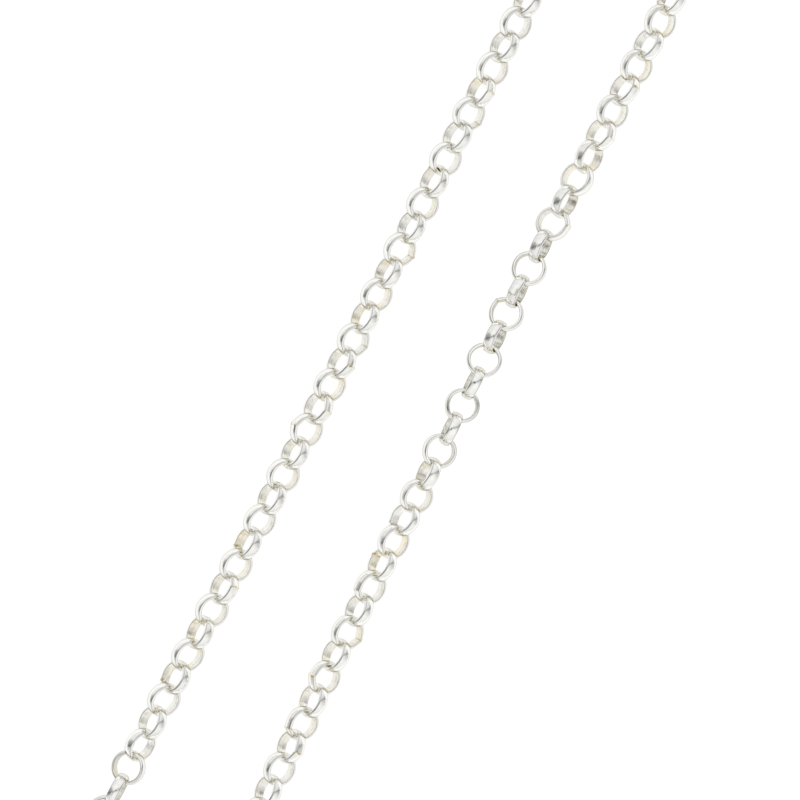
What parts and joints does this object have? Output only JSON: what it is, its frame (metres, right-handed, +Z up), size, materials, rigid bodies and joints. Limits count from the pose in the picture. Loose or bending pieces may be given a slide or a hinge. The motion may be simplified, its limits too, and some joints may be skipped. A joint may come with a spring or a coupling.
{
  "type": "rolo chain necklace",
  "caption": "Necklace of round interlocked rolo links bent from domed strip, closed by a plain claw clasp, lying as a long narrow loop.",
  "frame": {"origin": "middle of the loop's box seen from above, on the surface that the necklace lies on", "axes": "+Z up, +Y along the two strands towards the far turn, +X across them towards the strand without the clasp"},
  "size_m": [0.0206, 0.2194, 0.004],
  "materials": {
    "silver": "polished silver with a light warm tarnish inside the links"
  },
  "bodies": {
    "root": {"chain_left": "silver", "chain_right": "silver", "clasp": "silver"}
  },
  "joints": []
}
